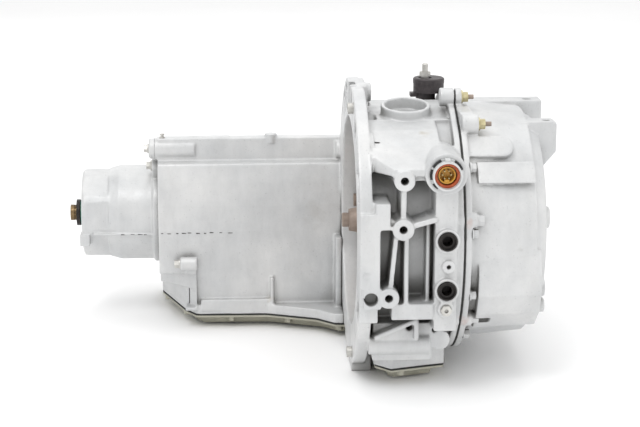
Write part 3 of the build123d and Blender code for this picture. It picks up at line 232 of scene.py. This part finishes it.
# centre (mm), radius (mm), colour, strength
STAINS = (
    ((135, -168, 37), 15, (0.52, 0.36, 0.31), 0.55),     # rust at the side cover's joint
    ((135, -138, -98), 17, (0.50, 0.36, 0.32), 0.6),     # the same, lower down
    ((86, -108, 140), 16, (0.40, 0.36, 0.29), 0.6),      # dirt on the shelf below the top port
    ((30, -130, 143), 9, (0.45, 0.78, 0.72), 0.25),      # faint teal smudge near the flange
    ((-344, 181, -4.5), 8, (0.02, 0.42, 0.40), 0.95),    # teal dot on the extension housing
    ((14, -188, -55), 13, (0.36, 0.25, 0.17), 0.7),      # rust around the flange's lower hole
    ((-100, 142, -150), 14, (0.45, 0.38, 0.28), 0.4),    # oil above the pan flange
    ((-40, 142, -27), 40, (0.46, 0.455, 0.44), 0.45),    # grey patch on the gear case near the bell
    ((205, -150, -3), 9, (0.35, 0.34, 0.32), 0.5),       # scuff on the side cover
)


def cast_paint():
    """Silver paint over sand-cast aluminium: fine grain, cloudy tone, painted shade in the crevices, a few
    stains.
    """
    s = Shade("cast_paint", metallic=0.2)
    clouds = s.ramp(s.noise(11, 6, 0.6), (0.3, (0.54, 0.55, 0.557)), (0.7, (0.69, 0.69, 0.685)))
    streaks = s.ramp(s.noise(30, 5, 0.7, (1.0, 1.0, 0.25)), (0.35, 0.86), (0.6, 1.0))
    speck = s.ramp(s.noise(420, 3, 0.6), (0.28, 0.62), (0.36, 1.0))
    base = s.mix(0.6, s.mix(0.6, clouds, streaks, "MULTIPLY"), speck, "MULTIPLY")
    for centre, radius, colour, strength in STAINS:
        mask = s.ramp(stain(s, centre, radius), (0.0, 0.0), (1.0, strength))
        base = s.mix(mask, base, colour)
    # painted shade: ambient occlusion darkens the paint in corners and recesses
    painted_shade = s.ramp(s.crevice(0.03), (0.12, (0.20, 0.19, 0.17)), (0.7, (1, 1, 1)))
    colour = s.mix(0.85, base, painted_shade, "MULTIPLY")
    rough = s.ramp(s.noise(60, 5), (0.3, 0.34), (0.7, 0.5))
    grain = s.bump(s.noise(900, 5, 0.7), 0.3, 0.0004)
    lumps = s.bump(s.noise(70, 3), 0.3, 0.002, grain)
    return s.finish(colour, rough, lumps)


def plain(name, low, high, scale, metallic, rough=(0.35, 0.55)):
    """Material that clouds between two colours and two roughnesses, with a fine grain."""
    s = Shade(name, metallic=metallic)
    colour = s.ramp(s.noise(scale, 6, 0.6), (0.3, low), (0.7, high))
    # painted shade: ambient occlusion darkens the colour in creases and recesses
    painted_shade = s.ramp(s.crevice(0.006), (0.2, 0.45), (0.8, 1.0))
    colour = s.mix(0.6, colour, painted_shade, "MULTIPLY")
    roughness = s.ramp(s.noise(scale * 2.3, 4), (0.3, rough[0]), (0.7, rough[1]))
    return s.finish(colour, roughness, s.bump(s.noise(600, 4, 0.6), 0.2, 0.0003))


# darker colour, lighter colour, noise scale, metallic, roughness range
FINISHES = {
    "bare_aluminium": ((0.55, 0.56, 0.57), (0.70, 0.70, 0.70), 40, 0.8),
    "steel": ((0.50, 0.49, 0.46), (0.68, 0.67, 0.64), 90, 0.8),
    "pan_steel": ((0.34, 0.33, 0.27), (0.50, 0.49, 0.41), 30, 0.5, (0.4, 0.6)),
    "dark_steel": ((0.10, 0.095, 0.09), (0.22, 0.21, 0.20), 80, 0.7),
    "rusty_steel": ((0.23, 0.18, 0.145), (0.38, 0.31, 0.265), 60, 0.4, (0.45, 0.7)),
    "yellow_zinc": ((0.46, 0.40, 0.22), (0.68, 0.62, 0.40), 150, 0.8, (0.3, 0.5)),
    "black_rubber": ((0.012, 0.012, 0.012), (0.03, 0.03, 0.03), 200, 0, (0.5, 0.7)),
    "green_rubber": ((0.01, 0.20, 0.14), (0.02, 0.30, 0.22), 200, 0, (0.4, 0.6)),
    "gasket_black": ((0.015, 0.015, 0.014), (0.04, 0.04, 0.036), 200, 0, (0.6, 0.8)),
    "black_plastic": ((0.030, 0.024, 0.026), (0.060, 0.050, 0.052), 200, 0, (0.4, 0.6)),
    "grey_plastic": ((0.52, 0.53, 0.53), (0.68, 0.69, 0.69), 120, 0, (0.35, 0.5)),
    "orange_rubber": ((0.36, 0.05, 0.012), (0.55, 0.12, 0.03), 200, 0, (0.3, 0.5)),
    "yellow_plastic": ((0.55, 0.27, 0.02), (0.75, 0.42, 0.05), 150, 0, (0.25, 0.4)),
    "black_fitting": ((0.012, 0.010, 0.009), (0.035, 0.03, 0.027), 150, 0.4, (0.4, 0.6)),
    "bronze_steel": ((0.10, 0.065, 0.03), (0.30, 0.21, 0.11), 200, 0.8, (0.3, 0.5)),
}
PAINT = cast_paint()
MATERIALS = {"painted_aluminium": PAINT}
for finish_name, values in FINISHES.items():
    MATERIALS[finish_name] = plain(finish_name, *values)
SLOT_OF = {part["node"]: part["material_slot"] for part in frame["record"]["subparts"]}
for name, node in NODES.items():
    node.data.materials.clear()
    node.data.materials.append(MATERIALS[SLOT_OF[name]])


# ---------------------------------------------------------------- cast pieces
def to_mesh(obj):
    """Apply the modifiers of an object to a new mesh and drop them."""
    bpy.context.view_layer.update()
    mesh = bpy.data.meshes.new_from_object(obj.evaluated_get(bpy.context.evaluated_depsgraph_get()))
    obj.modifiers.clear()
    obj.data = mesh


def rod(start, end, radius, tip_radius, sides):
    """Closed round bar between two points (mm)."""
    form = bmesh.new()
    start, end = Vector(start) * MM, Vector(end) * MM
    along = end - start
    bmesh.ops.create_cone(form, cap_ends=True, segments=sides, radius1=radius * MM,
                          radius2=tip_radius * MM, depth=along.length)
    turn = along.to_track_quat("Z", "Y").to_matrix().to_4x4()
    bmesh.ops.transform(form, matrix=Matrix.Translation((start + end) / 2) @ turn, verts=form.verts)
    return form


def cast(name, node, voxel=CAST_VOXEL):
    """Copy of a CAD casting with its corners filled and rounded like sand-cast metal."""
    form = bmesh.new()
    form.from_mesh(NODES[node].data)
    bmesh.ops.remove_doubles(form, verts=form.verts, dist=WELD)
    mesh = bpy.data.meshes.new(name)
    form.to_mesh(mesh)
    form.free()
    piece = bpy.data.objects.new(name, mesh)
    bpy.context.scene.collection.objects.link(piece)
    grid = piece.modifiers.new("grid", "REMESH")
    grid.mode = "VOXEL"
    grid.voxel_size = voxel * MM
    smooth = piece.modifiers.new("smooth", "SMOOTH")
    smooth.factor = 0.5
    smooth.iterations = CAST_ROUNDS
    to_mesh(piece)
    triangles = len(piece.data.polygons) * 2
    if triangles > CAST_FACES:
        thin = piece.modifiers.new("thin", "DECIMATE")
        thin.ratio = CAST_FACES / triangles
        to_mesh(piece)
    piece.data.shade_smooth()
    piece.data.materials.clear()
    piece.data.materials.append(PAINT)
    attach(piece, "case")
    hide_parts(node)


cast("housing_casting", "converter_housing")
cast("gear_case_casting", "gear_case")
cast("extension_casting", "extension_housing", voxel=NOSE_VOXEL)
cast("side_cover_casting", "side_cover")


# ---------------------------------------------------------------- small outside pieces
def piece_from(name, form, slot, body="case", bevel=0.0):
    """Object made of a small mesh that rides on a body, with its edges bevelled (mm)."""
    mesh = bpy.data.meshes.new(name)
    form.to_mesh(mesh)
    form.free()
    piece = bpy.data.objects.new(name, mesh)
    bpy.context.scene.collection.objects.link(piece)
    if bevel:
        edge = piece.modifiers.new("edge", "BEVEL")
        edge.width = bevel * MM
        edge.segments = 2
        to_mesh(piece)
    mesh = piece.data
    mesh.shade_smooth()
    mesh.set_sharp_from_angle(angle=SHARP)
    mesh.materials.append(MATERIALS[slot])
    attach(piece, body)


def arc_pads(centre, inner, outer, front, back, spans, steps=10):
    """Curved pads about a Y axis (mm), one for each span of angles in degrees."""
    form = bmesh.new()
    section = ((inner, front), (outer, front), (outer, back), (inner, back))
    for low, high in spans:
        rows = []
        for step in range(steps + 1):
            angle = math.radians(low + (high - low) * step / steps)
            row = []
            for radius, level in section:
                row.append(form.verts.new(((centre[0] + radius * math.cos(angle)) * MM, level * MM,
                                           (centre[1] + radius * math.sin(angle)) * MM)))
            rows.append(row)
        for first, second in zip(rows, rows[1:]):
            for side in range(4):
                form.faces.new((first[side], first[(side + 1) % 4], second[(side + 1) % 4], second[side]))
        form.faces.new(rows[0])
        form.faces.new(rows[-1])
    bmesh.ops.recalc_face_normals(form, faces=form.faces)
    return form


def join(parts):
    """One mesh made of several, which are used up."""
    whole = bmesh.new()
    for part in parts:
        spare = bpy.data.meshes.new("spare")
        part.to_mesh(spare)
        part.free()
        whole.from_mesh(spare)
        bpy.data.meshes.remove(spare)
    return whole


def flash_dashes(x_span, y, z, seed):
    """Dashes of mould flash in a broken line along X (mm), the same for the same seed."""
    chance = random.Random(seed)
    dashes = []
    x = x_span[0]
    while x < x_span[1]:
        length = chance.uniform(1.5, 7)
        lift = chance.uniform(-0.5, 0.5)
        dashes.append(rod((x, y, z + lift), (x + length, y, z + lift), chance.uniform(0.35, 0.7), 0.3, 8))
        x += length + chance.uniform(1, 9)
    return dashes


# mould flash along the parting line of the gear case and of the extension housing
case_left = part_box("gear_case")[0].x / MM
dashes = flash_dashes((case_left + 8, case_left + 108), y=139.7, z=-52, seed=3)
dashes += flash_dashes((-312, -272), y=170.5, z=-61.0, seed=5)
piece_from("mould_flash", join(dashes), "black_fitting")

# lock pads around the connector's shell, and its ring of pins; the depths are behind the shell's mouth
CONNECTOR_Z = 102.0
PAD_RADII, PAD_DEPTHS = (18.2, 20.8), (8.2, 11.5)
PAD_ANGLES = ((20, 62), (112, 150), (158, 196), (212, 236))
PIN_CIRCLE_R, PIN_DEPTHS = 5.2, (11, 22)
shell_low, shell_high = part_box("connector_shell")
socket_x = (shell_low.x + shell_high.x) / 2 / MM
mouth = shell_low.y / MM
pads = arc_pads((socket_x, CONNECTOR_Z), *PAD_RADII, mouth + PAD_DEPTHS[0], mouth + PAD_DEPTHS[1], PAD_ANGLES)
piece_from("connector_lock_pads", pads, "black_rubber", bevel=0.3)
pins = []
for angle in range(0, 360, 60):
    pin_x = socket_x + PIN_CIRCLE_R * math.cos(math.radians(angle))
    pin_z = CONNECTOR_Z + PIN_CIRCLE_R * math.sin(math.radians(angle))
    front, back = ((pin_x, mouth + depth, pin_z) for depth in PIN_DEPTHS)
    pins.append(rod(front, back, 0.8, 0.6, 12))
piece_from("connector_pins", join(pins), "yellow_zinc")


# ---------------------------------------------------------------- floor
def make_floor(half=30):
    """Pale floor under the lowest point, reaching that many metres each way."""
    low = cad_box[0].z
    mesh = bpy.data.meshes.new("floor")
    corners = [(-half, -half, low), (half, -half, low), (half, half, low), (-half, half, low)]
    mesh.from_pydata(corners, [], [(0, 1, 2, 3)])
    floor = bpy.data.objects.new("floor", mesh)
    bpy.context.scene.collection.objects.link(floor)
    s = Shade("floor", roughness=0.9)
    mesh.materials.append(s.finish(s.ramp(s.noise(3), (0.3, 0.96), (0.7, 0.98))))


make_floor()
